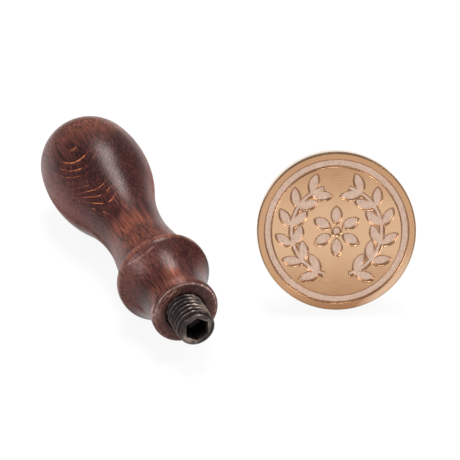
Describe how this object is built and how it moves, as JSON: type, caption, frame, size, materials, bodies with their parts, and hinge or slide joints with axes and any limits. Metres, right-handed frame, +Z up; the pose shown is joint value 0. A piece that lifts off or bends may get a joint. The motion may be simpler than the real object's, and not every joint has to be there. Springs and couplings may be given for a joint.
{
  "type": "wax seal stamp",
  "caption": "Turned wooden handle with a threaded stud in its end, and a round engraved brass seal head, unscrewed and lying beside it, for pressing seals into wax.",
  "frame": {"origin": "on the table, under the middle of the bounding box of the handle and the head together", "axes": "+Z up from the table, +Y along the handle from its stud towards its ball, +X from the handle towards the head"},
  "size_m": [0.0632, 0.0798, 0.0318],
  "materials": {
    "stained_wood": "satin lacquer",
    "blackened_steel": "black oxide",
    "brass": "brushed"
  },
  "bodies": {
    "handle": {"wooden_handle": "stained_wood"},
    "stud": {"threaded_stud": "blackened_steel"},
    "head": {"seal_head": "brass"}
  },
  "joints": [
    {"name": "stud_unscrew", "type": "slide", "parent": "handle", "child": "stud", "axis": [0, -0.9995, -0.0309], "range_m": [0, 0.014]},
    {"name": "head_turn", "type": "hinge", "parent": "handle", "child": "head", "pos_m": [0.0148, -0.02504, 0.01679], "axis": [-0.302, -0.882, 0.3617], "continuous": true}
  ]
}
